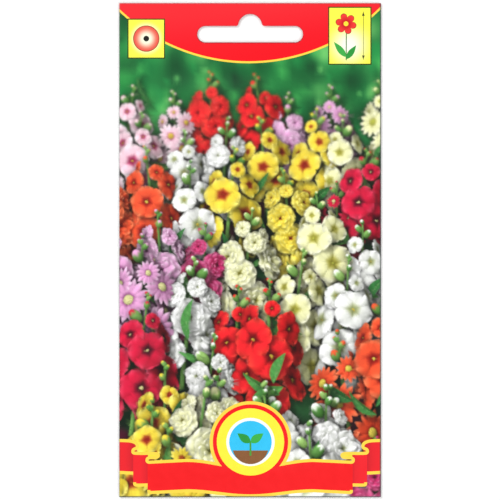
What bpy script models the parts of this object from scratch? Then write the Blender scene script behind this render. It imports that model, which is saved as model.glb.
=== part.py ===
"""A flower-seed packet, lying on its back.

Two webs of laminated paper are sealed face to face all round, and the header over the
seeds is sealed right across, with a euro slot punched through both webs so that the packet
hangs on a shop's peg. A small glassine sachet lies loose between the webs and holds the
seeds.

Metres, +Z up. X runs across the packet, +Y runs up it to the header, and the printed face
looks up. The origin is under the middle of the packet, on the surface that it lies on.
"""

import math
import random

import bmesh
import bpy
from mathutils import Matrix, Vector

MM = 0.001

# The packet as it is cut, and the slot as it is punched.
PACKET_WIDTH = 80.0 * MM
PACKET_LENGTH = 151.0 * MM
SLOT_LENGTH = 32.3 * MM
SLOT_HEIGHT = 5.0 * MM
SLOT_BELOW_TOP = 9.5 * MM  # from the top edge to the slot's centre line
HUMP_RADIUS = 3.65 * MM
HUMP_BELOW_TOP = 7.0 * MM  # from the top edge to the centre of the peg's round
HUMP_FILLET = 0.8 * MM
END_STEPS = 12
FILLET_STEPS = 4

# The webs, drawn about twice as thick as the real laminate.
WEB = 0.25 * MM
SEAL_GAP = 0.05 * MM
SIDE_SEAL = 5.0 * MM
BOTTOM_SEAL = 8.0 * MM
HEADER_SEAL = 22.0 * MM
FRONT_BULGE = 1.0 * MM
BACK_BULGE = 0.45 * MM
BACK_FLATTENED = 1.25  # how far the back's bulge runs into the surface that flattens it
ACROSS_CURVE = 2.5  # powers of the bulge's fall to the seals
ALONG_CURVE = 4.0
WEB_COLUMNS = 20
WEB_ROWS = 38

# The sachet, and the heap of seeds in it.
SACHET_WIDTH = 42.0 * MM
SACHET_LENGTH = 58.0 * MM
SACHET_CENTRE_Y = -10.0 * MM
SACHET_PAPER = 0.15 * MM
SACHET_SEAL = 4.0 * MM
SACHET_BULGE = 0.75 * MM
SACHET_COLUMNS = 10
SACHET_ROWS = 14
REST_GAP = 0.15 * MM  # between the sachet and the web under it
SEED_SIZE = (0.92 * MM, 0.64 * MM, 0.5 * MM)
SEED_PITCH = 0.57 * MM
HEAP_RADIUS = 2.9 * MM
HEAP_CENTRE_Y = SACHET_CENTRE_Y - 5.0 * MM
HEAP_SEED = 11
SEED_SIDES = 5
SEED_BANDS = 4

# The levels, from the surface up.
BACK_RIM = BACK_BULGE
SEAL_LEVEL = BACK_RIM + WEB
FRONT_RIM = SEAL_LEVEL + SEAL_GAP
SACHET_BACK = WEB + REST_GAP
SACHET_FRONT = SACHET_BACK + SACHET_PAPER + SEAL_GAP

PAPER_WHITE = (0.86, 0.86, 0.84, 1.0)
PRINT_GREEN = (0.08, 0.24, 0.09, 1.0)
GLASSINE = (0.78, 0.75, 0.66, 1.0)
SEED_BROWN = (0.028, 0.018, 0.012, 1.0)


def clear_scene():
    for obj in list(bpy.data.objects):
        bpy.data.objects.remove(obj, do_unlink=True)


def new_collection(name):
    collection = bpy.data.collections.new(name)
    bpy.context.scene.collection.children.link(collection)
    return collection


def material(name, colour, roughness):
    made = bpy.data.materials.new(name)
    made.use_nodes = True
    shader = made.node_tree.nodes["Principled BSDF"]
    shader.inputs["Base Color"].default_value = colour
    shader.inputs["Roughness"].default_value = roughness
    shader.inputs["Metallic"].default_value = 0.0
    return made


def object_from(name, bm, collection):
    mesh = bpy.data.meshes.new(name)
    bm.to_mesh(mesh)
    bm.free()
    obj = bpy.data.objects.new(name, mesh)
    collection.objects.link(obj)
    return obj


def fill(across, along):
    """How full a pouch is, 1 in its middle and 0 on its seals, at shares of its half sizes."""
    sideways = 1 - min(abs(across), 1.0) ** ACROSS_CURVE
    lengthways = 1 - min(abs(along), 1.0) ** ALONG_CURVE
    return sideways * lengthways


def packet_fill(x, y):
    """The pouch lies between the side seals, the bottom seal and the header."""
    low = -PACKET_LENGTH / 2 + BOTTOM_SEAL
    high = PACKET_LENGTH / 2 - HEADER_SEAL
    half_length = (high - low) / 2
    half_width = PACKET_WIDTH / 2 - SIDE_SEAL
    return fill(x / half_width, (y - (low + high) / 2) / half_length)


def sachet_fill(x, y):
    half_width = SACHET_WIDTH / 2 - SACHET_SEAL
    half_length = SACHET_LENGTH / 2 - SACHET_SEAL
    return fill(x / half_width, (y - SACHET_CENTRE_Y) / half_length)


def sheet(name, size, centre_y, cells, level, thickness, collection):
    """A sheet of paper: an open grid whose underside follows level(x, y), made solid upwards."""
    bm = bmesh.new()
    bmesh.ops.create_grid(bm, x_segments=cells[0], y_segments=cells[1], size=0.5)
    bmesh.ops.scale(bm, vec=(size[0], size[1], 1), verts=bm.verts)
    bmesh.ops.translate(bm, vec=(0, centre_y, 0), verts=bm.verts)
    for vert in bm.verts:
        vert.co.z = level(vert.co.x, vert.co.y)
    made = object_from(name, bm, collection)
    made.data.shade_smooth()
    solid = made.modifiers.new("paper", "SOLIDIFY")
    solid.thickness = thickness
    solid.offset = 1
    return made


def arc(centre, radius, start, end, steps):
    """Points along an arc, both ends included."""
    for i in range(steps + 1):
        turn = start + (end - start) * i / steps
        yield centre[0] + radius * math.cos(turn), centre[1] + radius * math.sin(turn)


def slot_outline():
    """The punch's outline, anticlockwise: a round-ended slot with the peg's round on top."""
    end = SLOT_HEIGHT / 2
    reach = SLOT_LENGTH / 2 - end
    centre_y = PACKET_LENGTH / 2 - SLOT_BELOW_TOP
    top = centre_y + end
    hump_y = PACKET_LENGTH / 2 - HUMP_BELOW_TOP
    # A fillet leads from the slot's straight edge into the round, and touches both.
    rise = top + HUMP_FILLET - hump_y
    foot = math.sqrt((HUMP_RADIUS + HUMP_FILLET) ** 2 - rise**2)
    meets = math.atan2(rise, foot)
    quarter = math.pi / 2
    right_end = list(arc((reach, centre_y), end, -quarter, quarter, END_STEPS))
    fillet = list(
        arc((foot, top + HUMP_FILLET), HUMP_FILLET, -quarter, meets - 2 * quarter, FILLET_STEPS)
    )
    peg_round = list(arc((0, hump_y), HUMP_RADIUS, meets, 2 * quarter - meets, END_STEPS))
    left = [(-x, y) for x, y in reversed(right_end + fillet)]
    return right_end + fillet + peg_round[1:-1] + left


def slot_punch(collection):
    """The punch: a flat curve extruded past both webs, made a mesh so that it can cut."""
    points = slot_outline()
    curve = bpy.data.curves.new("slot_punch", "CURVE")
    curve.dimensions = "2D"
    curve.fill_mode = "BOTH"
    curve.extrude = FRONT_RIM + 2 * WEB
    spline = curve.splines.new("POLY")
    spline.points.add(len(points) - 1)
    for point, (x, y) in zip(spline.points, points):
        point.co = (x, y, 0, 1)
    spline.use_cyclic_u = True
    guide = bpy.data.objects.new("slot_guide", curve)
    collection.objects.link(guide)
    graph = bpy.context.evaluated_depsgraph_get()
    mesh = bpy.data.meshes.new_from_object(guide.evaluated_get(graph))
    bpy.data.objects.remove(guide, do_unlink=True)
    bm = bmesh.new()
    bm.from_mesh(mesh)
    bmesh.ops.remove_doubles(bm, verts=bm.verts, dist=1e-6)
    bmesh.ops.recalc_face_normals(bm, faces=bm.faces)
    bm.to_mesh(mesh)
    bm.free()
    punch = bpy.data.objects.new("slot_punch", mesh)
    collection.objects.link(punch)
    punch.hide_render = True
    punch.display_type = "WIRE"
    return punch


def punched(web, punch):
    cut = web.modifiers.new("euro_slot", "BOOLEAN")
    cut.operation = "DIFFERENCE"
    cut.solver = "EXACT"
    cut.object = punch
    return web


def web_size():
    return (PACKET_WIDTH, PACKET_LENGTH)


def back_web(parts, punch):
    def level(x, y):
        return BACK_RIM - BACK_BULGE * min(1.0, BACK_FLATTENED * packet_fill(x, y))

    web = sheet("back_web", web_size(), 0, (WEB_COLUMNS, WEB_ROWS), level, WEB, parts)
    web.data.materials.append(material("laminated_paper_back", PAPER_WHITE, 0.45))
    return punched(web, punch)


def front_web(parts, punch):
    def level(x, y):
        return FRONT_RIM + FRONT_BULGE * packet_fill(x, y)

    web = sheet("front_web", web_size(), 0, (WEB_COLUMNS, WEB_ROWS), level, WEB, parts)
    web.data.materials.append(material("laminated_paper_print", PRINT_GREEN, 0.3))
    return punched(web, punch)


def sachet(parts):
    """Two leaves of glassine, the back one flat and the front one raised over the seeds."""
    size = (SACHET_WIDTH, SACHET_LENGTH)
    cells = (SACHET_COLUMNS, SACHET_ROWS)
    glassine = material("glassine", GLASSINE, 0.5)
    leaves = (
        ("sachet_back", lambda x, y: SACHET_BACK),
        ("sachet_front", lambda x, y: SACHET_FRONT + SACHET_BULGE * sachet_fill(x, y)),
    )
    for name, level in leaves:
        leaf = sheet(name, size, SACHET_CENTRE_Y, cells, level, SACHET_PAPER, parts)
        leaf.data.materials.append(glassine)


def seed_places(rng):
    """Seeds touch on a triangular pitch, each a little off it and turned its own way."""
    rows = int(HEAP_RADIUS / SEED_PITCH) + 1
    for row in range(-rows, rows + 1):
        for column in range(-rows, rows + 1):
            x = (column + 0.5 * (row % 2)) * SEED_PITCH
            y = row * SEED_PITCH * math.sqrt(0.75)
            if math.hypot(x, y) > HEAP_RADIUS:
                continue
            nudge = 0.06 * SEED_PITCH
            yield (
                x + rng.uniform(-nudge, nudge),
                y + rng.uniform(-nudge, nudge),
                rng.uniform(0, math.pi),
            )


def seeds(parts):
    """The heap: every seed is a small squared-off grain, and all are joined where they touch."""
    rng = random.Random(HEAP_SEED)
    grains = bpy.data.collections.new("seed_grains")
    bpy.context.scene.collection.children.link(grains)
    middle = SACHET_BACK + SACHET_PAPER + SEAL_GAP + SEED_SIZE[2] / 2
    for x, y, turn in seed_places(rng):
        bm = bmesh.new()
        bmesh.ops.create_uvsphere(bm, u_segments=SEED_SIDES, v_segments=SEED_BANDS, radius=0.5)
        place = (
            Matrix.Translation(Vector((x, HEAP_CENTRE_Y + y, middle)))
            @ Matrix.Rotation(turn, 4, "Z")
            @ Matrix.Diagonal((*SEED_SIZE, 1))
        )
        bmesh.ops.transform(bm, matrix=place, verts=bm.verts)
        object_from("grain", bm, grains)
    first = grains.objects[0]
    grains.objects.unlink(first)
    first.name = "seeds"
    parts.objects.link(first)
    join = first.modifiers.new("touching", "BOOLEAN")
    join.operation = "UNION"
    join.solver = "MANIFOLD"
    join.operand_type = "COLLECTION"
    join.collection = grains
    graph = bpy.context.evaluated_depsgraph_get()
    joined = bpy.data.meshes.new_from_object(first.evaluated_get(graph))
    first.modifiers.clear()
    first.data = joined
    for grain in list(grains.objects):
        bpy.data.objects.remove(grain, do_unlink=True)
    bpy.data.collections.remove(grains)
    first.data.materials.clear()
    first.data.materials.append(material("seed_coat", SEED_BROWN, 0.7))


def main():
    clear_scene()
    parts = new_collection("flower_seed_packet")
    cutters = new_collection("cutters")
    punch = slot_punch(cutters)
    back_web(parts, punch)
    front_web(parts, punch)
    sachet(parts)
    seeds(parts)


main()
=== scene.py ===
"""The looks of a flower-seed packet: two sheets of glossy printed laminate round a sachet.

The print is designed here in millimetres on the packet, from its middle, by formulas and
seeded random draws: a generic bed of mixed summer flowers under a red header, with a plain
ribbon and a badge with a seedling at the foot. It is kept as a colour at each corner of the
sheet's triangles, so its flat shapes have true edges in the mesh.
"""

import math

import bmesh
import bpy
import numpy as np
from mathutils.geometry import delaunay_2d_cdt
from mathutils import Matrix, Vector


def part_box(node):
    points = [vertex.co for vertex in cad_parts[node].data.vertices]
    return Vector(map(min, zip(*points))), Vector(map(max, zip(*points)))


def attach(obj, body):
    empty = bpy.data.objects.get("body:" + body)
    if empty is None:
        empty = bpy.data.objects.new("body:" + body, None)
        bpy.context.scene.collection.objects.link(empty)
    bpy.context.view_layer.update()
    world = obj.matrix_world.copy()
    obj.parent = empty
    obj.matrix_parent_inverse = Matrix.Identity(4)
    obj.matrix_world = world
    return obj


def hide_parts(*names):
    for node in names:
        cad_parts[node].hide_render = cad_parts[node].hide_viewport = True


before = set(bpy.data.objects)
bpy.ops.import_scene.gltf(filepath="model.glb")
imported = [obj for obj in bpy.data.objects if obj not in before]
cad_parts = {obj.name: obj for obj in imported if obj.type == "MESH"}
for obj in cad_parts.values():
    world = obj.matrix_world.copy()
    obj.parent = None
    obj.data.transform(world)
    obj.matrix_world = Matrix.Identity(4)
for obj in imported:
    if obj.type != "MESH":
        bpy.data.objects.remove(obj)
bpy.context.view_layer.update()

# The packet's sizes in millimetres, from the solids.
MM = 0.001
FRONT_LOW, FRONT_HIGH = [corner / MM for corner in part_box("front_web")]
BACK_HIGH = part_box("back_web")[1] / MM
WIDTH = FRONT_HIGH.x - FRONT_LOW.x
LENGTH = FRONT_HIGH.y - FRONT_LOW.y
RIGHT = WIDTH / 2
TOP = LENGTH / 2
SEAM = (BACK_HIGH.z + FRONT_LOW.z) / 2  # the level where the two webs are sealed
FILM = 0.16  # the laminate's thickness, finer than the solids'
SEAM_GAP = 0.02
ROLLED_EDGE = 0.3  # how far in the guillotine presses the front sheet's edge down
ROLL_DEPTH = 0.7 * FILM
EDGE_SHADE_REACH = 0.5  # how far in the painted shade beside the cut edge reaches
SIDE_SEAL = 5.0
BOTTOM_SEAL = 8.0
HEADER_SEAL = 22.0
ACROSS_CURVE = 2.5  # powers of the fullness's fall to the seals, as in the solids
ALONG_CURVE = 4
BACK_FLATTENED = 1.25  # how much deeper the back's bulge would be unflattened

# The waves that sealing leaves in the flat parts, and the puckers along its seams.
WAVE_HEIGHT = 0.06
WAVE_LENGTHS = (47, 62)
PUCKER_HEIGHT = 0.03
PUCKER_LENGTH = 6.3
PUCKER_REACH = 3.0

# The punched slot, as in the solids.
SLOT_LENGTH = 32.3
SLOT_HEIGHT = 5.0
SLOT_BELOW_TOP = 9.5
HUMP_RADIUS = 3.65
HUMP_BELOW_TOP = 7.0
HUMP_FILLET = 0.8
SLOT_MIDDLE = TOP - SLOT_BELOW_TOP
HUMP_MIDDLE = TOP - HUMP_BELOW_TOP

# The photograph's framing: the packet's width and centre in its 500 by 500 pixels.
PHOTO_PIXELS = 500
PACKET_PIXELS = 261.7
CENTRE_PIXEL = (250.15, 250.15)

# How finely the print is drawn.
PITCH = 0.2  # where it has the most detail
COARSEST = 8  # where it has the least, in such pitches
FRONT_POINTS = 88000  # at most so many lattice points draw each side
BACK_POINTS = 9000
LINE_STEP = 0.5  # between the points of an outline
LINE_GAP = 0.12  # between an outline and the lattice points beside it
PICTURE_SEED = 4
INK_SEED = 5

# Inks, as sRGB hex values.
HEADER_RED = "F40218"
# the painted sheen on the header's red, lighter towards its top
HEADER_SHEEN_RED = "F4252F"
RIBBON_RED = "F4181E"
KEYLINE_YELLOW = "FFD94A"
SIGN_YELLOW = "FCFA4E"
SIGN_OUTLINE = "33410F"
PAPER_WHITE = "F7F7F4"
# the grey of the painted shade beside the cut edges and the slot
EDGE_SHADE_INK = "3A4242"


def srgb(code):
    """An sRGB hex value as three numbers from 0 to 1."""
    return np.array([int(code[i : i + 2], 16) / 255 for i in (0, 2, 4)])


def linear(values):
    """sRGB values as linear light, for a shader."""
    values = np.clip(np.asarray(values, float), 0, 1)
    return np.where(values <= 0.04045, values / 12.92, ((values + 0.055) / 1.055) ** 2.4)


def encoded(values):
    """Linear light as sRGB values."""
    values = np.clip(values, 0, 1)
    return np.where(values <= 0.0031308, values * 12.92, 1.055 * values ** (1 / 2.4) - 0.055)


def shader_colour(code):
    return (*linear(srgb(code)), 1.0)


def smooth(low, high, value):
    """0 at low and 1 at high, eased at both ends. low may be the larger."""
    share = np.clip((value - low) / (high - low), 0, 1)
    return share * share * (3 - 2 * share)


def blend(first, second, share):
    """Mixes two colours, or two sets of them, by a share for each point."""
    share = np.asarray(share)[..., None]
    return first + (second - first) * share


# Outlines, in millimetres.


def arc(x, y, radius, start, end, steps):
    turns = np.linspace(start, end, steps + 1)
    return [(x + radius * math.cos(t), y + radius * math.sin(t)) for t in turns]


def disc(x, y, radius, steps=48):
    return arc(x, y, radius, 0, 2 * math.pi, steps)[:-1]


def rectangle(left, low, right, high):
    return [(left, low), (right, low), (right, high), (left, high)]


def stepped(outline):
    """The same outline with more points, so that the ink beside a long edge stays true."""
    points = []
    for (ax, ay), (bx, by) in zip(outline, outline[1:] + outline[:1]):
        count = math.ceil(math.hypot(bx - ax, by - ay) / LINE_STEP)
        points += [(ax + (bx - ax) * k / count, ay + (by - ay) * k / count) for k in range(count)]
    return points


def slot_outline(grow=0.0):
    """A round-ended slot with the peg's round on its upper side, or a line that far round it."""
    end = SLOT_HEIGHT / 2 + grow
    reach = (SLOT_LENGTH - SLOT_HEIGHT) / 2
    fillet = HUMP_FILLET - grow
    level = SLOT_MIDDLE + end + fillet
    foot = math.sqrt((HUMP_RADIUS + HUMP_FILLET) ** 2 - (level - HUMP_MIDDLE) ** 2)
    meets = math.atan2(level - HUMP_MIDDLE, foot)
    right = arc(reach, SLOT_MIDDLE, end, -math.pi / 2, math.pi / 2, 24)
    right += arc(foot, level, fillet, -math.pi / 2, meets - math.pi, 6)
    over = arc(0, HUMP_MIDDLE, HUMP_RADIUS + grow, meets, math.pi - meets, 24)[1:-1]
    return right + over + [(-x, y) for x, y in reversed(right)]


def inside(outline, x, y):
    """Which points lie in a closed outline, by how often a ray from each crosses it."""
    points = np.array(outline)
    found = np.zeros(len(x), bool)
    low, high = points.min(0), points.max(0)
    near = np.flatnonzero((x > low[0]) & (x < high[0]) & (y > low[1]) & (y < high[1]))
    px, py = x[near], y[near]
    odd = np.zeros(len(near), bool)
    for (ax, ay), (bx, by) in zip(points, np.roll(points, -1, 0)):
        if ay == by:
            continue
        crosses = ((ay > py) != (by > py)) & (px < (bx - ax) * (py - ay) / (by - ay) + ax)
        odd ^= crosses
    found[near] = odd
    return found


# The picture: a bed of upright flowers, modelled petal by petal as a relief seen from in front,
# lit, and then laid flat as ink. x goes across the print, y up it and z towards the eye, in mm.

PIXEL = 0.125
COLUMNS = round(WIDTH / PIXEL)
ROWS = round(LENGTH / PIXEL)
EMPTY = -30.0  # the height of the bare ground
SUN = np.array([-0.49, 0.61, 0.62])  # towards the sun: high on the left, behind the eye
SUN_WAY = (-0.63, 0.78)  # the same across the print
SKY_LIGHT = 0.40  # the light on a petal that is turned away from the sun
WRAP = 0.3  # how far past its edge of shade a petal is still lit
SHADE_TINT = np.array([0.16, 0.19, 0.12])  # the light that reaches a shaded petal through others
NEAR_BLUR = 0.09  # the softness at the picture's foot, and at its top
FAR_BLUR = 0.24
GOLDEN_TURN = math.radians(137.5)  # the turn from one flower on a stem to the next

# Each flower's inks: its throat, its petals, their rims, and the eye in its middle.
FLOWER_INKS = {
    "crimson": ("5A0A22", "D4183E", "EE4A68", "F6E7A0"),
    "scarlet": ("8C0A10", "F5222A", "FB4A3A", "F4D24A"),
    "orange": ("B01810", "F5552F", "FB8A5C", "F8E05A"),
    "cream": ("D2CB4A", "F7F7BC", "FEFEE6", "C8CC50"),
    "yellow": ("C02418", "F5DA42", "FBF284", "B04A18"),
    "white": ("D2DE96", "F8FAF4", "FFFFFF", "D9C445"),
    "lilac": ("A03C86", "EBA8D8", "F8DAF0", "F5EFA8"),
    "magenta": ("6A0C38", "C42864", "E27AA6", "F0D957"),
    "blush": ("C82A62", "F9D0DE", "FFF4F7", "EBCB4A"),
}

# The drifts that the bed is planted in: the middle of each, and what grows there.
DRIFTS = (
    (-32, 44, "blush"), (-10, 41, "scarlet"), (12, 46, "lilac"), (33, 41, "cream"),
    (-34, 22, "orange"), (-13, 19, "white"), (9, 22, "yellow"), (30, 19, "crimson"),
    (-29, -1, "lilac"), (-6, -2, "magenta"), (14, -3, "cream"), (34, -3, "white"),
    (-36, -24, "crimson"), (-17, -25, "white"), (4, -24, "scarlet"), (24, -25, "lilac"),
    (39, -31, "orange"), (-28, -49, "yellow"), (-7, -47, "cream"), (16, -50, "white"),
    (35, -53, "magenta"),
)


def mottle(rng, x, y, size):
    """Smooth random values from -1 to 1, in patches of the given size."""
    columns = int(WIDTH / size) + 5
    rows = int(LENGTH / size) + 5
    values = rng.uniform(-1, 1, (columns, rows))
    u = np.clip((x + RIGHT) / size + 1, 0, columns - 2.001)
    v = np.clip((y + TOP) / size + 1, 0, rows - 2.001)
    i = u.astype(int)
    j = v.astype(int)
    u = smooth(0, 1, u - i)
    v = smooth(0, 1, v - j)
    low = values[i, j] * (1 - u) + values[i + 1, j] * u
    high = values[i, j + 1] * (1 - u) + values[i + 1, j + 1] * u
    return low * (1 - v) + high * v


class Relief:
    """What the eye sees of the bed: in each cell, the nearest surface's height and lit colour."""

    def __init__(self):
        x = (np.arange(COLUMNS) + 0.5) * PIXEL - RIGHT
        y = (np.arange(ROWS) + 0.5) * PIXEL - TOP
        self.y, self.x = np.meshgrid(y, x, indexing="ij")
        self.colour = np.zeros((ROWS * COLUMNS, 3))
        self.height = np.full(ROWS * COLUMNS, EMPTY)

    def lay(self, points, colour, pale_back=0.0):
        """Adds a surface: a grid of points, close enough to leave no gap, and their colours."""
        normal = np.cross(np.gradient(points, axis=0), np.gradient(points, axis=1))
        normal /= np.linalg.norm(normal, axis=2, keepdims=True) + 1e-9
        turned = normal[..., 2:] < 0
        normal = np.where(turned, -normal, normal)
        colour = np.where(turned, colour + (0.9 - colour) * pale_back, colour)
        facing = np.clip(normal @ SUN, -1, 1)
        light = (SKY_LIGHT + np.clip((facing + WRAP) / (1 + WRAP), 0, 1) ** 1.3)[..., None]
        shade = np.clip(1 - light, 0, 1)
        lit = linear(colour) ** (1 + 0.4 * shade) * (light + shade * SHADE_TINT)
        self.keep_nearest(points.reshape(-1, 3), lit.reshape(-1, 3))

    def keep_nearest(self, points, lit):
        """Keeps the points that are nearer than what their cells hold."""
        column = np.floor((points[:, 0] + RIGHT) / PIXEL).astype(int)
        row = np.floor((points[:, 1] + TOP) / PIXEL).astype(int)
        seen = (column >= 0) & (column < COLUMNS) & (row >= 0) & (row < ROWS)
        cell = row * COLUMNS + column
        seen[seen] = points[seen, 2] > self.height[cell[seen]]
        cell, height, lit = cell[seen], points[seen, 2], lit[seen]
        order = np.argsort(height, kind="stable")
        self.height[cell[order]] = height[order]
        self.colour[cell[order]] = lit[order]


def directions(facing, spin=0.0):
    """Three unit vectors for a flower that looks the way facing says: two across it, one out."""
    out = np.array(facing, float)
    out /= np.linalg.norm(out)
    side = np.cross([0.0, 1.0, 0.02], out)
    side /= np.linalg.norm(side)
    up = np.cross(out, side)
    turned = side * math.cos(spin) + up * math.sin(spin)
    return turned, np.cross(out, turned), out


def grid(length, width):
    """Places along a surface, from 0 to 1, and across it, from -1 to 1."""
    rows = max(10, int(length / PIXEL * 1.5))
    columns = max(10, int(width / PIXEL * 1.5))
    return np.meshgrid(np.linspace(0, 1, rows), np.linspace(-1, 1, columns), indexing="ij")


def reaching_out(centre, axes, turn, along, across, rise):
    """Points of a surface that reaches out from a flower's middle at a turn round it."""
    side, up, out = axes
    radial = side * math.cos(turn) + up * math.sin(turn)
    sideward = up * math.cos(turn) - side * math.sin(turn)
    flat_part = centre + along[..., None] * radial + across[..., None] * sideward
    return flat_part + rise[..., None] * out


# How each form of flower is built, whorl by whorl: its petals' number, reach, width, rise from
# the throat, fall to the rim, hollow across, ruffle and notch. Lengths are shares of the radius.
FORMS = {
    "single": ((5, 1.0, 0.54, 0.42, 0.42, 0.22, 0.13, 0.12),),
    "double": (
        (7, 1.0, 0.50, 0.30, 0.34, 0.25, 0.13, 0.06),
        (6, 0.78, 0.39, 0.48, 0.28, 0.25, 0.12, 0.06),
        (5, 0.54, 0.27, 0.52, 0.22, 0.25, 0.10, 0.06),
        (4, 0.32, 0.16, 0.42, 0.16, 0.25, 0.08, 0.06),
    ),
    "daisy": ((14, 1.0, 0.17, 0.16, 0.20, 0.40, 0.02, 0.02),),
}


def petal(relief, rng, centre, axes, turn, radius, whorl, inks, lift):
    """One petal. It starts at lift over the flower's middle."""
    reach, wide, cup, curl, hollow, ruffle, notch = (share * radius for share in whorl[1:])
    along, across = grid(reach, 2 * wide)
    first, second = rng.uniform(0, 2 * math.pi, 2)
    belly = 1.6 if whorl[0] < 10 else 1.2
    half = wide * np.sin(np.pi * np.clip(along, 0.005, 0.999) ** belly) ** 0.6
    out = reach * along - notch * np.exp(-((across / 0.3) ** 2)) * along**6
    out += 0.03 * reach * along**3 * np.sin(5 * across + first)
    rise = lift + cup * along - curl * along**2 - hollow / radius * half * across**2
    rise += ruffle * along**2 * np.sin(4.5 * across + second) * (0.3 + 0.7 * abs(across))
    throat, body, rim = inks
    edge = smooth(0.68, 1, along + 0.1 * abs(across))
    colour = blend(blend(throat, body, smooth(0.1, 0.42, along)), rim, 0.75 * edge)
    veins = smooth(0.5, 1, np.cos(across * 17 + 0.6 * np.sin(6 * along + first)))
    veins *= smooth(0.1, 0.4, along) * (1.1 - along)
    tone = rng.uniform(0.94, 1.04) * (0.72 + 0.28 * smooth(0, 0.45, along)) - 0.12 * veins
    points = reaching_out(centre, axes, turn, out, across * half, rise)
    relief.lay(points, np.clip(colour * tone[..., None], 0, 1), pale_back=0.25)


def blossom(relief, rng, centre, radius, facing, kind, form):
    axes = directions(facing, rng.uniform(0, 2 * math.pi))
    *inks, eye = [srgb(code) for code in FLOWER_INKS[kind]]
    for whorl in FORMS[form]:
        count = whorl[0]
        spin = rng.uniform(0, 2 * math.pi)
        for k in rng.permutation(count):
            turn = spin + 2 * math.pi * (k + rng.uniform(-0.15, 0.15)) / count
            size = radius * rng.uniform(0.9, 1.06)
            lift = rng.uniform(0, 0.06) * radius
            petal(relief, rng, centre, axes, turn, size, whorl, inks, lift)
    if form != "double":
        wide = 0.24 * radius if form == "daisy" else 0.11 * radius
        ball(relief, centre, axes, wide, 0.7 * wide, lambda polar, turn: pollen(eye, polar, turn))


def pollen(colour, polar, turn):
    """Pollen, in little lumps."""
    lumps = 0.85 + 0.3 * np.sin(polar * 18) * np.sin(turn * 9)
    return np.clip(colour * lumps[..., None], 0, 1)


def ball(relief, centre, axes, radius, tall, colour_at):
    """A round or egg-shaped thing: radius is half its width, and tall half its depth."""
    around, polar = grid(2 * math.pi * radius, math.pi * radius)
    around = around * 2 * math.pi
    polar = (polar + 1) * math.pi / 2
    side, up, out = axes
    across = np.sin(polar) * np.cos(around) * radius
    upward = np.sin(polar) * np.sin(around) * radius
    points = across[..., None] * side + upward[..., None] * up
    points += (np.cos(polar) * tall)[..., None] * out
    relief.lay(centre + points, colour_at(polar, around))


def bud(relief, rng, centre, radius, facing, kind):
    """Green, with the petals' colour where it is about to open."""
    petals = srgb(FLOWER_INKS[kind][1])
    opening = rng.uniform(0.2, 0.75)
    green = blend(srgb("5C9A46"), srgb("A3CC72"), rng.uniform(0, 1))

    def colour_at(polar, around):
        ribs = 1 - 0.12 * smooth(0.6, 1, np.cos(5 * around))
        share = smooth(opening, 0.95, np.cos(polar) + 0.12 * np.sin(5 * around))
        return blend(green * ribs[..., None], petals, share)

    ball(relief, centre, directions(facing), radius, 1.6 * radius, colour_at)


def leaf(relief, rng, centre, length, wide):
    """A lance-shaped leaf with a pale midrib."""
    turn = rng.uniform(0.1, 3.0)
    tilt = rng.uniform(0.1, 1.0)
    aim = turn + 1.2
    facing = (math.sin(tilt) * math.cos(aim), math.sin(tilt) * math.sin(aim), math.cos(tilt))
    along, across = grid(length, 2 * wide)
    half = wide * np.sin(np.pi * along**0.85) ** 0.9
    arch, bend = rng.uniform((0.15, -0.35), (0.6, 0.35))
    sideways = across * half + bend * length * along * (1 - along)
    rise = arch * length * along * (1 - 1.2 * along) + 0.45 * half * (abs(across) - 0.5)
    green = blend(srgb("2A6B34"), srgb("6DB857"), rng.uniform(0, 1))
    ribs = 1 + 0.07 * np.sin(along * 34 - 5 * abs(across))
    midrib = 0.5 * smooth(0.14, 0.03, abs(across))
    colour = blend(green * ribs[..., None], srgb("B4D894"), midrib)
    points = reaching_out(centre, directions(facing), turn, length * along, sideways, rise)
    relief.lay(points, np.clip(colour, 0, 1))


def stem(relief, low, high, radius):
    """The front half of a round stem that thins towards its tip."""
    along, across = grid(np.linalg.norm(high - low), math.pi * radius)
    points = low + (high - low) * along[..., None]
    thick = radius * (1 - 0.7 * along)
    points[..., 0] += thick * np.sin(across * math.pi / 2)
    points[..., 2] += thick * np.cos(across * math.pi / 2)
    relief.lay(points, np.broadcast_to(srgb("7DB35A"), points.shape))


FLOWERS_PER_STEM = 20
HIDDEN = -0.35  # flowers further round to the stem's far side are left out


def spire(relief, rng, top, radius, kind, form):
    """A stem with buds at its tip and flowers that open further and wider down it."""
    lean = rng.uniform(-0.14, 0.14)
    down = np.array([lean, -1.0, -0.1])
    turn = rng.uniform(0, 2 * math.pi)
    stem(relief, top + down * 6.2 * radius, top + down * 0.2 * radius, 0.11 * radius)
    for k in range(FLOWERS_PER_STEM):
        turn += GOLDEN_TURN + rng.uniform(-0.25, 0.25)
        age = k / (FLOWERS_PER_STEM - 1)
        size = radius * (0.13 + 0.87 * smooth(0.05, 0.75, age)) * rng.uniform(0.88, 1.1)
        reach = 0.35 * size + 0.75 * radius * smooth(0, 0.6, age)
        away = np.array([math.sin(turn), rng.uniform(0.0, 0.4), math.cos(turn)])
        if away[2] < HIDDEN:
            continue
        centre = top + down * radius * 5.5 * age**1.25 + away * reach
        if age < 0.3:
            bud(relief, rng, centre, 0.7 * size, away + (0, 0.8, 0.2), kind)
        else:
            blossom(relief, rng, centre, size, away + (0, 0.1, 0.55), kind, form)


def drift_at(rng, x, y):
    """What grows at a place: the nearest drift's flower, with a few strays."""
    x, y = (x, y) + rng.normal(0, 3.0, 2)
    distances = [math.hypot(x - drift[0], y - drift[1]) for drift in DRIFTS]
    return DRIFTS[int(np.argmin(distances))][2]


# The trees far behind: patches of green, from large to small.
FAR_GREENS = ("07351D", "0B5228", "0F6B35", "22984A", "50C45E", "84DC76")
FAR_PATCHES = 600
LARGEST_PATCH = 8.0
SMALLEST_SHARE = 0.12


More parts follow.
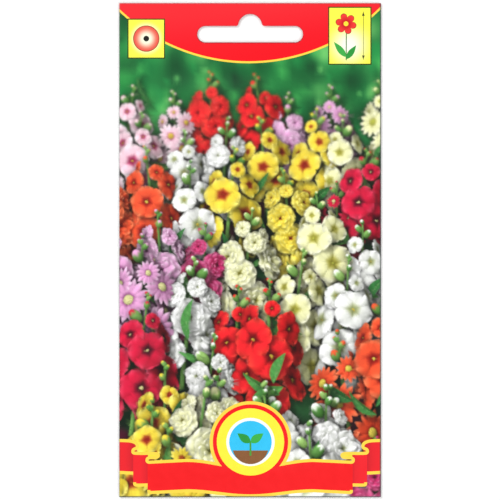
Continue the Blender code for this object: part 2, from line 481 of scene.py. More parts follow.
def background(relief, rng):
    """What is behind the flowers: sunlit green far out of focus above, and deep shade below."""
    x, y = relief.x, relief.y
    mild = 0.45 + 0.5 * mottle(rng, x, y, 9) + 0.3 * mottle(rng, x, y, 2.5)
    deep = blend(srgb("0E2417"), srgb("235A2C"), np.clip(mild, 0, 1))
    deep = blend(deep, srgb("4B1027"), smooth(0, 0.5, mottle(rng, x, y, 8)))
    high = slice(round(TOP / PIXEL), None)
    far = np.broadcast_to(srgb("1B803A"), deep[high].shape)
    trees = np.random.default_rng(PICTURE_SEED + 1)
    for k in range(FAR_PATCHES):
        middle = trees.uniform((-RIGHT, 0), (RIGHT, TOP))
        size = LARGEST_PATCH * SMALLEST_SHARE ** (k / (FAR_PATCHES - 1)) * trees.uniform(0.8, 1.2)
        apart = ((x[high] - middle[0]) / 0.8) ** 2 + (y[high] - middle[1]) ** 2
        share = 0.62 * np.exp(-apart / size**2)
        far = blend(far, srgb(trees.choice(FAR_GREENS)), share)
    deep[high] = blend(deep[high], far, smooth(12, 40, y[high]))
    relief.colour[:] = linear(deep).reshape(-1, 3)


BED_ROWS = 9
BED_TOP = 53.0
BED_FOOT = -60.0
FAR_RADIUS = 4.8
NEAR_RADIUS = 8.3
ROW_STEP = 20.0  # how much nearer each row of plants is than the one behind it


def bed(relief, rng):
    """The plants, row by row: each row is lower on the print, nearer and larger."""
    for row in range(BED_ROWS):
        near = row / (BED_ROWS - 1)
        top = BED_TOP + (BED_FOOT - BED_TOP) * near
        radius = FAR_RADIUS + (NEAR_RADIUS - FAR_RADIUS) * near
        spacing = 2.5 * radius
        count = int(WIDTH / spacing) + 2
        start = -RIGHT - rng.uniform(0.1, 0.9) * spacing
        for _ in range(count):
            x, y = rng.uniform((-RIGHT, top - 20), (RIGHT, top - 8))
            centre = np.array([x, y, ROW_STEP * row - 9])
            length = radius * rng.uniform(1.3, 2.1)
            leaf(relief, rng, centre, length, radius * rng.uniform(0.18, 0.32))
        for i in rng.permutation(count):
            x = start + (i + rng.uniform(-0.2, 0.2)) * spacing
            y = top + rng.uniform(-1.3, 1.3) * radius
            kind = drift_at(rng, x, y - 2 * radius)
            form = rng.choice(("single", "double", "daisy"), p=(0.52, 0.33, 0.15))
            tip = np.array([x, y, ROW_STEP * row + rng.uniform(0, 3)])
            spire(relief, rng, tip, radius, kind, form)


def moved(field, right, up):
    """A field of cells, each with the value from an offset in millimetres."""
    rows = np.clip(np.arange(ROWS) + round(up / PIXEL), 0, ROWS - 1)
    columns = np.clip(np.arange(COLUMNS) + round(right / PIXEL), 0, COLUMNS - 1)
    return field[rows][:, columns]


def blurred(image, size):
    """Blurs rows and then columns by a bell curve, its size in millimetres."""
    reach = int(3 * size / PIXEL) + 1
    weights = np.exp(-0.5 * (np.arange(-reach, reach + 1) * PIXEL / size) ** 2)
    weights /= weights.sum()
    for axis in (0, 1):
        margins = [(reach, reach) if k == axis else (0, 0) for k in range(image.ndim)]
        padded = np.pad(image, margins, "edge")
        image = sum(
            weight * np.take(padded, range(k, k + image.shape[axis]), axis)
            for k, weight in enumerate(weights)
        )
    return image


def shaded(relief):
    """The relief with the shade between its parts and the shadows that they cast."""
    height = relief.height.reshape(ROWS, COLUMNS)
    closed = np.zeros_like(height)
    distances, sides = (0.5, 1.1, 2.2), 8
    for reach in distances:
        for turn in np.arange(sides) * 2 * math.pi / sides + reach:
            rise = moved(height, reach * math.cos(turn), reach * math.sin(turn)) - height
            closed += np.clip(rise / reach - 0.15, 0, 1) / (len(distances) * sides)
    cast = np.zeros_like(height)
    for reach in (0.35, 0.7, 1.1, 1.6, 2.2, 3.0):
        rise = moved(height, SUN_WAY[0] * reach, SUN_WAY[1] * reach) - height
        cast = np.maximum(cast, np.clip((rise - 0.75 * reach) / (0.5 + 0.3 * reach), 0, 1))
    open_share = 1 - np.clip(1.35 * blurred(closed, 0.12), 0, 0.96)
    keep = open_share * (1 - 0.5 * blurred(cast, 0.2))
    return relief.colour.reshape(ROWS, COLUMNS, 3) * keep[..., None]


def make_picture():
    """The finished picture as rows of sRGB colours, in focus in front and soft behind."""
    rng = np.random.default_rng(PICTURE_SEED)
    relief = Relief()
    background(relief, rng)
    bed(relief, rng)
    image = shaded(relief)
    far = smooth(10, 48, relief.y)
    return encoded(blend(blurred(image, NEAR_BLUR), blurred(image, FAR_BLUR), far))


def look_up(image):
    """A paint that gives the picture's colour at any points, mixed from four cells each."""

    def paint(x, y):
        u = np.clip((x + RIGHT) / PIXEL - 0.5, 0, COLUMNS - 1.001)
        v = np.clip((y + TOP) / PIXEL - 0.5, 0, ROWS - 1.001)
        i, j = u.astype(int), v.astype(int)
        low = blend(image[j, i], image[j, i + 1], u - i)
        high = blend(image[j + 1, i], image[j + 1, i + 1], u - i)
        return blend(low, high, v - j)

    return paint


# The flat shapes over the picture. Each is an outline and a function that gives its colours.


def flat(code):
    """One ink all over, with the faint unevenness of a printed solid."""

    def paint(x, y):
        uneven = mottle(np.random.default_rng(INK_SEED), x, y, 1.1) * 0.012
        return np.clip(srgb(code) + uneven[:, None], 0, 1)

    return paint


def fade(first, second, start, end, value):
    """An ink that goes from one colour to another where a value goes from start to end."""

    def paint(x, y):
        return blend(srgb(first), srgb(second), smooth(start, end, value(x, y)))

    return paint


def glow(middle, rim, x0, y0, radius, start=0.1):
    """An ink that goes from one colour in its middle to another at a radius."""
    return fade(middle, rim, start, 1.0, lambda x, y: np.hypot(x - x0, y - y0) / radius)


HEADER_DIP = 57.73  # the lowest point of the header's edge, up from the packet's middle
HEADER_RADIUS = 56.9
HEADER_MIDDLE = -0.42  # across, from the packet's middle
KEYLINE = 0.62  # the width of the yellow line below it
OVERSHOOT = 1.0  # how far past the packet's edge a shape runs


def header_outline(drop):
    """The header's lower edge is an arc, and it runs off the packet at both sides."""
    centre = HEADER_DIP + HEADER_RADIUS
    radius = HEADER_RADIUS + drop
    reach = math.asin((RIGHT + OVERSHOOT - HEADER_MIDDLE) / radius)
    edge = arc(HEADER_MIDDLE, centre, radius, -math.pi / 2 - reach, -math.pi / 2 + reach, 90)
    return edge + [(RIGHT + OVERSHOOT, TOP + OVERSHOOT), (-RIGHT - OVERSHOOT, TOP + OVERSHOOT)]


def header():
    """Red ink with a painted sheen, lighter towards the packet's top and left, with a yellow line.
    """
    # painted sheen: the red lightens towards the top and the left
    red = fade(HEADER_RED, HEADER_SHEEN_RED, 58, 76, lambda x, y: y - 0.08 * x)
    return [(header_outline(0), red), (header_outline(KEYLINE), flat(KEYLINE_YELLOW))]


def framed(left, low, right, high, line, ground, outline_ink):
    """A panel in an outline."""
    panel = rectangle(left + line, low + line, right - line, high - line)
    return [(panel, ground), (rectangle(left, low, right, high), flat(outline_ink))]


SIGN_LINE = 0.34  # the width of a sign's outline


def sun_sign():
    """The common sign for a sunny place: a shining disc with a dot, on yellow."""
    x, y, half_width, half_height, radius = -31.75, 64.65, 5.75, 6.12, 3.82
    box = (x - half_width, y - half_height, x + half_width, y + half_height)
    shine = glow("FBFDE0", "EC5A48", x, y, radius, 0.28)
    halo = glow("FFFFC4", SIGN_YELLOW, x, y, 1.5 * radius, 0.6)
    return [
        (disc(x, y, 0.88, 24), flat("171512")),
        *[(disc(x, y, radius * share), shine) for share in (0.33, 0.46, 0.6, 0.74, 0.88, 1)],
        (disc(x, y, radius + 0.2), flat("8A3220")),
        *[(disc(x, y, radius * share), halo) for share in (1.14, 1.27, 1.4)],
        *framed(*box, SIGN_LINE, halo, SIGN_OUTLINE),
    ]


def leaf_outline(x, y, length, wide, turn):
    """A pointed leaf from its foot."""
    steps = 9
    cos, sin = math.cos(turn), math.sin(turn)
    points = []
    for side in (1, -1):
        for i in range(steps):
            share = i / steps if side == 1 else 1 - i / steps
            along = length * share
            across = side * wide * math.sin(math.pi * share**0.8)
            points.append((x + along * cos - across * sin, y + along * sin + across * cos))
    return points


def bloom_outline(x, y, radius, count):
    """A round-petalled sign of a flower."""
    points = []
    for t in np.linspace(0, 2 * math.pi, 12 * count + 1)[:-1]:
        reach = radius * (0.62 + 0.38 * abs(math.sin(count * t / 2)) ** 0.7)
        points.append((x + reach * math.cos(t + 0.3), y + reach * math.sin(t + 0.3)))
    return points


def height_sign():
    """The common sign for a plant's height: a plain flower beside an arrow, and no number."""
    box = (23.85, 56.65, 37.1, 74.4)
    bloom = (29.3, 69.2)
    lit_part = (30.2, 62.6)
    arrow_x, arrow_low, arrow_high = 34.6, 58.2, 72.9
    half_line, half_head, head_length = 0.07, 0.42, 1.3
    ground = glow("FFFFF0", SIGN_YELLOW, *lit_part, 8.5)
    stalk = [(29.2, 58.0), (29.5, 58.0), (29.55, 66.5), (29.25, 66.5)]
    arrow = [
        [(arrow_x - half_head, tip - way), (arrow_x + half_head, tip - way), (arrow_x, tip)]
        for tip, way in ((arrow_high, head_length), (arrow_low, -head_length))
    ]
    arrow.append(rectangle(arrow_x - half_line, arrow_low, arrow_x + half_line, arrow_high))
    return [
        (disc(*bloom, 0.75, 20), flat("FFE23A")),
        (bloom_outline(*bloom, 3.1, 6), glow("C3121C", "F23A34", *bloom, 2.6)),
        (bloom_outline(*bloom, 3.25, 6), flat("7C0F14")),
        (leaf_outline(29.35, 59.0, 6.0, 0.95, 2.25), flat("3FAE49")),
        (leaf_outline(29.4, 58.4, 5.2, 0.9, 0.95), flat("2F9A3F")),
        (stalk, flat("3E7A33")),
        *[(shape, flat("4A4A22")) for shape in arrow],
        *[(disc(*lit_part, radius), ground) for radius in (1.8, 3.0, 4.2, 5.3)],
        *framed(*box, SIGN_LINE, ground, SIGN_OUTLINE),
    ]


def rounded(path):
    """A path with its corners cut down to curves, three times over."""
    path = np.array(path, float)
    for _ in range(3):
        early = path[:-1] * 0.75 + path[1:] * 0.25
        late = path[:-1] * 0.25 + path[1:] * 0.75
        cut = np.stack([early, late], 1).reshape(-1, 2)
        path = np.concatenate([path[:1], cut[1:-1], path[-1:]])
    return path


def stripe(path, side):
    """The outline of a ribbon's border along a path, on one side of the packet or the other."""
    path = rounded(path) * (side, 1)
    way = np.gradient(path, axis=0)
    across = np.stack([-way[:, 1], way[:, 0]], 1) / np.linalg.norm(way, axis=1, keepdims=True)
    across *= RIBBON_BORDER / 2
    return np.concatenate([path + across, (path - across)[::-1]]).tolist()


# The ribbon's right side. Its left side is the mirror of it.
RIBBON_BORDER = 0.95
RIBBON_END = 31.35  # where its front part folds back
RIBBON_CREST = 19.5
FOLD_END = 35.75  # where the next part folds back again
PAST_RIGHT = RIGHT + 1.5

# The upper border's way round each fold, and the lower one's upturned end.
FIRST_FOLD = [(31.3, -64.85), (31.6, -64.1), (31.2, -63.4), (28.6, -63.45), (27.9, -62.75)]
FIRST_FOLD += [(28.5, -62.05), (34.9, -62.15), (35.9, -61.9), (35.8, -60.9), (34.9, -60.65)]
SECOND_FOLD = [(34.35, -60.1), (34.7, -59.0), (36.2, -58.35), (38.2, -58.2), (PAST_RIGHT, -58.15)]
UPTURNED = [(30.6, -74.1), (30.95, -73.9), (30.95, -73.3)]

# The lower borders between the folds and beyond them, and the tail's shape.
BETWEEN_FOLDS = [(31.0, -71.75), (34.8, -71.85), (35.3, -71.65), (35.32, -70.95)]
TAIL_BORDER = [(35.4, -68.15), (38, -68.05), (PAST_RIGHT, -67.8)]
TAIL = [(34.5, -60.1), (34.9, -59.1), (36.2, -58.4), (PAST_RIGHT, -58.2), (PAST_RIGHT, -67.9)]
TAIL += [(35.4, -68.1)]


def ribbon_wave(crest, dip):
    """The middle of a waved border from the packet's middle to the fold: up and slightly down."""
    rising = [(x, crest - dip * (1 + math.cos(math.pi * x / RIBBON_CREST)) / 2) for x in range(20)]
    falling = [(x, crest - 0.05 * (x - RIBBON_CREST)) for x in range(20, 31)]
    return rising + falling


def off_middle(x, y):
    """How far a place is from the packet's middle line."""
    return abs(x)


def ribbon():
    """A plain red ribbon with yellow borders, folded back twice at each side. Its upper border
    runs on round both folds."""
    over = ribbon_wave(-64.25, 2.3)
    under = ribbon_wave(-73.55, 1.55)
    front = over + [(RIBBON_END, -64.8), (RIBBON_END, -74.1)] + under[::-1]
    yellow = flat(KEYLINE_YELLOW)
    shapes = []
    for side in (-1, 1):
        shadow = leaf_outline(side * RIBBON_END, -64.12, 2.8, 0.22, math.pi * (side + 1) / 2)
        inside_fold = 29.75 * side
        shapes += [
            (stripe(over + FIRST_FOLD + SECOND_FOLD, side), yellow),
            (stripe(under + UPTURNED, side), yellow),
            ([(x * side, y) for x, y in front], flat(RIBBON_RED)),
            (shadow, flat("6E1512")),
            (rectangle(inside_fold - 1.45, -63.4, inside_fold + 1.45, -62.1), flat("F1E23C")),
        ]
    for side in (-1, 1):
        left, right = sorted((side * (RIBBON_END - 0.3), side * FOLD_END))
        shaded_red = fade("D81C28", "F2222C", 31.3, 32.6, off_middle)
        tail_red = fade("CE1E2A", "EC222C", 35.8, 37.6, off_middle)
        shapes += [
            (stripe(BETWEEN_FOLDS, side), yellow),
            (rectangle(left, -71.8, right, -62.1), shaded_red),
            (stripe(TAIL_BORDER, side), yellow),
            ([(x * side, y) for x, y in TAIL], tail_red),
        ]
    return shapes


BADGE = (0.1, -58.6)


def badge_face():
    """A round badge with a seedling: two seed leaves on a stalk over a mound of soil."""
    x, y = BADGE
    soil = arc(x, y - 1.2, 5.6, math.pi + 0.25, 2 * math.pi - 0.25, 24)
    return [
        (leaf_outline(x, y - 0.2, 4.9, 1.25, 0.62), flat("3DB24A")),
        (leaf_outline(x, y - 0.2, 4.9, 1.25, math.pi - 0.62), flat("2C9A3E")),
        (rectangle(x - 0.28, y - 4.2, x + 0.28, y + 0.4), flat("4C9E3D")),
        (soil, flat("8A5A34")),
        (disc(*BADGE, 6.5), flat("33C4F4")),
        (disc(*BADGE, 7.4), flat("FDFDFB")),
        (disc(*BADGE, 10.3, 64), flat("FFEF3E")),
        (disc(*BADGE, 11.5, 72), flat(RIBBON_RED)),
    ]


def badge_rim():
    """The yellow line round the badge, behind the ribbon."""
    return [(disc(*BADGE, 12.5, 72), flat(KEYLINE_YELLOW))]


def front_shapes():
    """The flat shapes on the front, the topmost first."""
    return sun_sign() + height_sign() + header() + badge_face() + ribbon() + badge_rim()


BACK_GREEN = "2F8A45"
# January to December: when to sow, and when it is in flower.
MONTH_INKS = ["FFFFFF"] * 2 + ["8CCB6E"] * 3 + ["FFFFFF"] + ["F08CB0"] * 3 + ["FFFFFF"] * 3


def back_shapes():
    """The flat shapes on the back, the topmost first: a leafy sprig and a bar of twelve months
    in a green frame, under the same header as the front's."""
    month, bar_low, bar_high, gap = 5.2, -55.0, -49.5, 0.2
    shapes = []
    for pair in range(5):
        foot = -12.0 + 7.0 * pair
        long = 13.0 - 1.7 * pair
        for turn, green in ((0.72, "4FA653"), (math.pi - 0.72, "3C9448")):
            shapes.append((leaf_outline(0, foot, long, 0.24 * long, turn), flat(green)))
    shapes.append((leaf_outline(0, 20.5, 8.0, 1.9, math.pi / 2), flat("4FA653")))
    shapes.append(([(-0.45, -24), (0.45, -24), (0.2, 22), (-0.2, 22)], flat("3C7F3A")))
    for number, ink in enumerate(MONTH_INKS):
        # January is on the left as the back is read, which is to the right from the front.
        left = (5 - number) * month + gap
        cell = rectangle(left, bar_low + gap, left + month - 2 * gap, bar_high - gap)
        shapes.append((cell, flat(ink)))
    shapes.append((rectangle(-6 * month, bar_low, 6 * month, bar_high), flat(BACK_GREEN)))
    panel = framed(-35.0, -67.0, 35.0, 50.0, 0.5, flat("FBFBF4"), BACK_GREEN)
    return header() + shapes + panel


class Print:
    """A design in ink: flat shapes, the topmost first, over a ground."""

    def __init__(self, shapes, ground):
        self.outlines = [outline for outline, _ in shapes]
        self.paints = [paint for _, paint in shapes] + [ground]

    def layers(self, x, y):
        """Which shape is topmost at each point. The ground comes last."""
        layer = np.full(len(x), len(self.outlines))
        for index in reversed(range(len(self.outlines))):
            layer[inside(self.outlines[index], x, y)] = index
        return layer

    def colours(self, layer, x, y):
        colours = np.zeros((len(x), 3))
        for index in np.unique(layer):
            here = layer == index
            colours[here] = self.paints[index](x[here], y[here])
        return colours


# The sheets.


def in_scene(name, data):
    """A new object of this data in the scene."""
    made = bpy.data.objects.new(name, data)
    bpy.context.scene.collection.objects.link(made)
    return made


def fill(x, y):
    """How full the pouch is: 1 in its middle and 0 on its seals, as in the solids."""
    low = -TOP + BOTTOM_SEAL
    high = TOP - HEADER_SEAL
    across = np.clip(abs(x) / (RIGHT - SIDE_SEAL), 0, 1)
    along = np.clip(abs(y - (low + high) / 2) / ((high - low) / 2), 0, 1)
    return (1 - across**ACROSS_CURVE) * (1 - along**ALONG_CURVE)


def ripple(x, y):
    """How far the waves and puckers lift a sheet, or lower it."""
    across = np.sin(x * 2 * math.pi / WAVE_LENGTHS[0] + 0.6)
    along = np.sin(y * 2 * math.pi / WAVE_LENGTHS[1] + 1.1)
    seal = np.exp(-(((abs(x) - (RIGHT - SIDE_SEAL)) / PUCKER_REACH) ** 2))
    puckers = seal * np.sin(y * 2 * math.pi / PUCKER_LENGTH + np.sign(x))
    puckers *= y < TOP - HEADER_SEAL
    return WAVE_HEIGHT * across * along + PUCKER_HEIGHT * puckers


def front_inner(x, y):
    full = fill(x, y)
    rim = SEAM + SEAM_GAP
    return rim + (FRONT_HIGH.z - FILM - rim) * full + ripple(x, y) * (1 - full)


def front_outer(x, y):
    """The printed face, pressed down along its edge where the guillotine cut it."""
    inset = np.minimum(RIGHT - abs(x), TOP - abs(y))
    roll = np.clip(1 - inset / ROLLED_EDGE, 0, 1)
    return front_inner(x, y) + FILM - ROLL_DEPTH * (1 - np.sqrt(1 - 0.98 * roll**2))


def back_inner(x, y):
    flattened = np.minimum(1, BACK_FLATTENED * fill(x, y))
    return SEAM - (SEAM - FILM) * flattened + ripple(x, y) * (1 - flattened)


def back_outer(x, y):
    return back_inner(x, y) - FILM


def lattice(design, most):
    """At most so many points on a lattice that is finer where the design's colours change."""
    columns = round(WIDTH / PITCH / COARSEST) * COARSEST
    rows = round(LENGTH / PITCH / COARSEST) * COARSEST
    x = (np.arange(columns) + 0.5) * WIDTH / columns - RIGHT
    y = (np.arange(rows) + 0.5) * LENGTH / rows - TOP
    x, y = np.meshgrid(x, y, indexing="ij")
    i, j = np.indices(x.shape)
    layer = design.layers(x.ravel(), y.ravel())
    colours = design.colours(layer, x.ravel(), y.ravel()).reshape(columns, rows, 3)

    def contrast(size):
        """How much the colours differ within each block, for every point in it."""
        blocks = colours.reshape(columns // size, size, rows // size, size, 3)
        spread = (blocks.max((1, 3)) - blocks.min((1, 3))).sum(-1)
        return spread[i // size, j // size]

    contrasts = {size: contrast(size) for size in (COARSEST, COARSEST // 2, COARSEST // 4)}

    def kept(limit):
        """The coarsest lattice, and a finer one in each block with more contrast than a limit."""
        keep = (i % COARSEST == 0) & (j % COARSEST == 0)
        for size, spread in contrasts.items():
            keep |= (i % (size // 2) == 0) & (j % (size // 2) == 0) & (spread > limit)
        return keep

    low, high = 0.0, 3.0  # the most that an ink's three values can differ in all
    for _ in range(14):
        limit = (low + high) / 2
        if kept(limit).sum() > most:
            low = limit
        else:
            high = limit
    keep = kept(high)
    return x[keep], y[keep]


def clear_of(outlines, x, y, gap):
    """Which points keep a gap from every outline, so that few triangles are slivers."""
    taken = set()
    for outline in outlines:
        closed = np.array(outline + outline[:1])
        for start, end in zip(closed[:-1], closed[1:]):
            steps = int(np.hypot(*(end - start)) / (gap / 2)) + 1
            line = start + (end - start) * np.linspace(0, 1, steps + 1)[:, None]
            taken.update(map(tuple, np.round(line / gap).astype(int).tolist()))
    cells = np.round(np.stack([x, y], 1) / gap).astype(int).tolist()
    return np.array([tuple(cell) not in taken for cell in cells])


def triangulate(x, y, outlines, gap):
    """Triangles through the points and along the outlines, within the packet and off the slot."""
    clear = clear_of(outlines, x, y, gap)
    points = list(zip(x[clear].tolist(), y[clear].tolist()))
    edges = []
    for outline in outlines:
        first = len(points)
        points += outline
        edges += [(first + k, first + (k + 1) % len(outline)) for k in range(len(outline))]
    points, _, faces, *_ = delaunay_2d_cdt(points, edges, [], 0, 1e-4)
    points = np.array([tuple(point) for point in points])
    faces = np.array(faces)
    middle = points[faces].mean(1)
    kept = (abs(middle[:, 0]) < RIGHT) & (abs(middle[:, 1]) < TOP)
    faces = faces[kept & ~inside(slot_outline(), middle[:, 0], middle[:, 1])]
    a, b, c = (points[faces[:, k]] for k in range(3))
    area = (b[:, 0] - a[:, 0]) * (c[:, 1] - a[:, 1]) - (b[:, 1] - a[:, 1]) * (c[:, 0] - a[:, 0])
    faces[area < 0] = faces[area < 0][:, ::-1]
    used, index = np.unique(faces[area != 0], return_inverse=True)
    return points[used], index.reshape(-1, 3)


def cut_edges(faces):
    """The edges that only one triangle has, each in its triangle's direction."""
    ends = np.concatenate([faces[:, [0, 1]], faces[:, [1, 2]], faces[:, [2, 0]]])
    pairs = np.sort(ends, axis=1)
    _, index, count = np.unique(pairs, axis=0, return_inverse=True, return_counts=True)
    return ends[count[index.reshape(-1)] == 1].tolist()


def loops(edges):
    """Edges joined end to end into closed loops of points."""
    following = dict(edges)
    found = []
    while following:
        start, point = following.popitem()
        found.append([start])
        while point != start:
            found[-1].append(point)
            point = following.pop(point)
    return found


PLAIN_PITCH = 2.5  # between the points of a sheet's unprinted face
PLAIN_GAP = 1.0

# Outlines beside the cuts, for the rolled edge and the painted shade beside them.
EDGE_INSETS = (0, 0.07, 0.16, ROLLED_EDGE, EDGE_SHADE_REACH)
SLOT_OUTSETS = (0, 0.2, 0.4)


def sheet(name, design, most, printed_level, plain_level, printed_up):
    """A closed sheet with a fine printed face, a coarse plain one and the cut edge between.

    No mesh operator lays triangles along a printed design, so a constrained Delaunay
    triangulation of the outlines and of a lattice does it here.
    """
    edges = [rectangle(-RIGHT + i, -TOP + i, RIGHT - i, TOP - i) for i in EDGE_INSETS]
    edges += [slot_outline(grow) for grow in SLOT_OUTSETS]
    outlines = [stepped(outline) for outline in edges + design.outlines]
    points, faces = triangulate(*lattice(design, most), outlines, LINE_GAP)
    cut = cut_edges(faces)
    border = [[tuple(points[k].tolist()) for k in loop] for loop in loops(cut)]
    x, y = np.meshgrid(
        np.arange(-RIGHT + PLAIN_PITCH / 2, RIGHT, PLAIN_PITCH),
        np.arange(-TOP + PLAIN_PITCH / 2, TOP, PLAIN_PITCH),
    )
    plain_points, plain_faces = triangulate(x.ravel(), y.ravel(), border, PLAIN_GAP)
    names = {tuple(point): k for k, point in enumerate(np.round(plain_points, 4).tolist())}
    across = {k: names[tuple(np.round(points[k], 4).tolist())] + len(points) for k, _ in cut}
    walls = np.array([(b, a, across[a], across[b]) for a, b in cut])
    plain_faces = plain_faces[:, ::-1] + len(points)
    if not printed_up:
        faces, plain_faces, walls = faces[:, ::-1], plain_faces[:, ::-1], walls[:, ::-1]
    verts = [
        np.stack([*points.T, printed_level(*points.T)], 1),
        np.stack([*plain_points.T, plain_level(*plain_points.T)], 1),
    ]
    mesh = bpy.data.meshes.new(name)
    all_faces = faces.tolist() + plain_faces.tolist() + walls.tolist()
    mesh.from_pydata((np.concatenate(verts) * MM).tolist(), [], all_faces)
    unprinted = np.arange(len(all_faces)) >= len(faces)
    walled = np.arange(len(all_faces)) >= len(faces) + len(plain_faces)
    mesh.polygons.foreach_set("material_index", unprinted.astype(np.int32))
    mesh.polygons.foreach_set("use_smooth", ~walled)
    crease_walls(mesh, walls)
    ink_corners(mesh, design, points, faces)
    mesh.update()
    mesh.materials.append(film_over_print())
    mesh.materials.append(cut_paper())
    return in_scene(name, mesh)


def crease_walls(mesh, walls):
    """Keeps the light on the smooth faces from bending round into the cut edge."""
    edge_of = np.zeros(len(mesh.loops), np.int32)
    mesh.loops.foreach_get("edge_index", edge_of)
    creased = np.zeros(len(mesh.edges), bool)
    creased[edge_of[-walls.size :]] = True
    mesh.edges.foreach_set("use_edge_sharp", creased)


def painted_edge_shade(x, y):
    """Painted shade beside a cut edge: how far the ink is greyed in the last hair beside it, most
    on the right and at the foot, away from the key lamp, and below the punched slot."""
    end = SLOT_HEIGHT / 2
    past_end = np.hypot(np.maximum(abs(x) - SLOT_LENGTH / 2 + end, 0), y - SLOT_MIDDLE) - end
    past_hump = np.hypot(x, y - HUMP_MIDDLE) - HUMP_RADIUS
    # painted shade beside the slot, darker below it
    slot = smooth(SLOT_OUTSETS[-1], 0.05, np.minimum(past_end, past_hump))
    # painted shade, darkest on the right and at the foot, away from the key lamp, lighter on the
    # other two edges
    shade_right_foot = smooth(EDGE_SHADE_REACH, 0.1, np.minimum(RIGHT - x, y + TOP))
    other = smooth(0.4, 0.05, np.minimum(x + RIGHT, TOP - y))
    below = smooth(0, -end, y - SLOT_MIDDLE)
    return np.maximum(0.72 * shade_right_foot, np.maximum(0.25 * other, slot * (0.15 + 0.35 * below)))


def ink_corners(mesh, design, points, faces):
    """Gives each printed triangle's corners the ink of the shape that the triangle lies in."""
    middle = points[faces].mean(1)
    corners = points[faces.ravel()]
    layer = np.repeat(design.layers(*middle.T), 3)
    colours = np.ones((len(mesh.loops), 4), np.float32)
    colours[:, :3] = linear(srgb(PAPER_WHITE))
    # painted shade: the ink greys beside the cut edges and the slot
    inks = blend(design.colours(layer, *corners.T), srgb(EDGE_SHADE_INK), painted_edge_shade(*corners.T))
    colours[: len(corners), :3] = linear(inks)
    mesh.color_attributes.new("print", "FLOAT_COLOR", "CORNER")
    mesh.color_attributes["print"].data.foreach_set("color", colours.ravel())


def pouch():
    """The two printed sheets, which take the place of the solids' webs."""
    front = Print(front_shapes(), look_up(make_picture()))
    back = Print(back_shapes(), flat("F6F6EE"))
    front_sheet = sheet("front_sheet", front, FRONT_POINTS, front_outer, front_inner, True)
    back_sheet = sheet("back_sheet", back, BACK_POINTS, back_outer, back_inner, False)
    for piece, node, slot in (
        (front_sheet, "front_web", "printed_laminate"),
        (back_sheet, "back_web", "back_laminate"),
    ):
        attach(piece, "root")
        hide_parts(node)


def contents():
    """The sachet and the seeds are the solids' own shapes, with their real finish."""
    finishes = {"sachet_front": glassine(), "sachet_back": glassine(), "seeds": seed_coat()}
    for name, material in finishes.items():
        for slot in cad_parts[name].material_slots:
            slot.material = material


# Materials.


def add(tree, kind, settings=None, **links):
    """Adds a node, sets its properties and inputs, and links sockets to its inputs by name."""
    node = tree.nodes.new(kind)
    for name, value in (settings or {}).items():
        if name in node.inputs:
            node.inputs[name].default_value = value
        else:
            setattr(node, name, value)
    for name, socket in links.items():
        tree.links.new(socket, node.inputs[name.replace("_", " ")])
    return node


def new_material(name, roughness, ior):
    """A material with its shader, and Object coordinates in millimetres for its patterns."""
    material = bpy.data.materials.new(name)
    material.use_nodes = True
    tree = material.node_tree
    shader = tree.nodes["Principled BSDF"]
    shader.inputs["Roughness"].default_value = roughness
    shader.inputs["IOR"].default_value = ior
    metres = add(tree, "ShaderNodeTexCoord").outputs["Object"]
    mm = add(tree, "ShaderNodeMapping", {"Scale": (1 / MM,) * 3}, Vector=metres).outputs[0]
    return material, tree, shader, mm


def film_over_print():
    """Four-colour print under glossy polypropylene film: clear bright inks, and a shine that
    the paper's fibres below make very slightly uneven."""
    material, tree, shader, mm = new_material("glossy_film_over_print", 0.28, 1.49)
    ink = add(tree, "ShaderNodeAttribute", {"attribute_name": "print"}).outputs["Color"]
    fibres = add(tree, "ShaderNodeTexNoise", {"Scale": 1.4, "Detail": 3.0}, Vector=mm).outputs[0]
    bump = add(tree, "ShaderNodeBump", {"Strength": 0.25, "Distance": 0.02 * MM}, Height=fibres)
    tree.links.new(ink, shader.inputs["Base Color"])
    tree.links.new(bump.outputs[0], shader.inputs["Normal"])
    return material


def mottled(name, roughness, ior, scale, dark, light):
    """A matt natural material whose colour wanders between two shades."""
    material, tree, shader, mm = new_material(name, roughness, ior)
    noise = add(tree, "ShaderNodeTexNoise", {"Scale": scale, "Detail": 4.0}, Vector=mm).outputs[0]
    shades = add(tree, "ShaderNodeValToRGB", Fac=noise)
    for element, code in zip(shades.color_ramp.elements, (dark, light)):
        element.color = shader_colour(code)
    shades.color_ramp.elements[0].position = 0.3
    shades.color_ramp.elements[1].position = 0.7
    tree.links.new(shades.outputs["Color"], shader.inputs["Base Color"])
    return material, tree, shader, mm


def cut_paper():
    """The paper's cut edge and its bare inner side: bleached, matt and slightly fibrous."""
    return mottled("bleached_paper", 0.8, 1.5, 3.0, "E6E4DC", "F8F7F2")[0]


def glassine():
    """Smooth, dense glassine: greyish cream, with the cloudy look of its beaten pulp and a low
    shine."""
    return mottled("calendered_glassine", 0.38, 1.5, 0.35, "D8D3C4", "E9E5D8")[0]


def seed_coat():
    """A dull dark seed coat with a raised net."""
    material, tree, shader, mm = mottled("netted_seed_coat", 0.75, 1.45, 1.5, "1E140D", "4A3524")
    net_cell = 0.12
    cells = {"feature": "DISTANCE_TO_EDGE", "Scale": 1 / net_cell}
    net = add(tree, "ShaderNodeTexVoronoi", cells, Vector=mm).outputs[0]
    ridges = {"From Max": 0.2, "To Min": 1.0, "To Max": 0.0}
    ridge = add(tree, "ShaderNodeMapRange", ridges, Value=net)
    bump = add(tree, "ShaderNodeBump", {"Distance": 0.03 * MM}, Height=ridge.outputs[0])
    tree.links.new(bump.outputs[0], shader.inputs["Normal"])
    return material


# The studio.


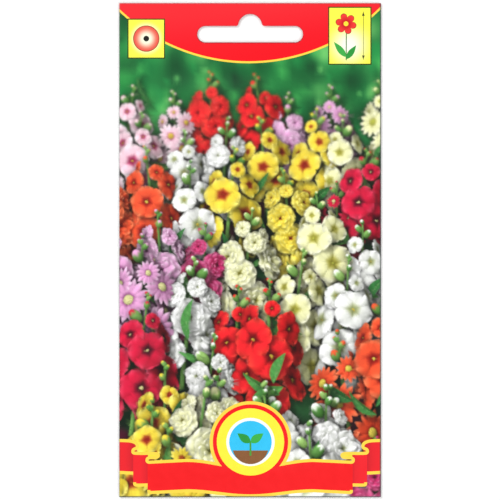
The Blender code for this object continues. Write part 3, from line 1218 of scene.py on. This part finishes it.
def floor():
    """A plain white board."""
    made = bpy.data.meshes.new("floor")
    shape = bmesh.new()
    bmesh.ops.create_grid(shape, x_segments=1, y_segments=1, size=3)
    shape.to_mesh(made)
    shape.free()
    made.materials.append(mottled("white_board", 0.9, 1.5, 0.01, "FAFAFA", "FCFCFC")[0])
    board = in_scene("floor", made)


def lights():
    """A dome with a bright band half-way up, and two soft lamps. It is dim overhead and low
    down, where the film would mirror it."""
    world = bpy.data.worlds.new("studio")
    bpy.context.scene.world = world
    world.use_nodes = True
    tree = world.node_tree
    way = add(tree, "ShaderNodeTexCoord").outputs["Generated"]
    height = add(tree, "ShaderNodeSeparateXYZ", Vector=way).outputs["Z"]
    dome = add(tree, "ShaderNodeValToRGB", Fac=height)
    for position, level in ((0.3, 0.15), (0.6, 1.0), (0.8, 1.0)):
        dome.color_ramp.elements.new(position).color = (level, level, level, 1)
    for end in (0, -1):
        dome.color_ramp.elements[end].color = (0.12, 0.12, 0.12, 1)
    tree.links.new(dome.outputs["Color"], tree.nodes["Background"].inputs["Color"])
    for name, location, size, power in (
        ("key", (-0.5, 0.5, 0.9), 0.6, 5.2),
        ("fill", (0.6, -0.6, 0.9), 0.8, 4.3),
    ):
        lamp = bpy.data.lights.new(name, "AREA")
        lamp.size = size
        lamp.energy = power
        light = in_scene(name, lamp)
        light.location = location
        light.rotation_euler = (-light.location).to_track_quat("-Z", "Y").to_euler()


def camera():
    """Straight above the packet, far off with a long lens, as a flat scan sees it."""
    data = bpy.data.cameras.new("camera")
    data.lens = 200
    data.sensor_width = 36
    pixel = WIDTH * MM / PACKET_PIXELS
    middle = PHOTO_PIXELS / 2
    made = in_scene("camera", data)
    made.location = (
        (middle - CENTRE_PIXEL[0]) * pixel,
        (CENTRE_PIXEL[1] - middle) * pixel,
        PHOTO_PIXELS * pixel * data.lens / data.sensor_width + SEAM * MM,
    )
    bpy.context.scene.camera = made


bpy.context.scene.view_settings.view_transform = "Standard"
camera()
lights()
floor()
pouch()
contents()
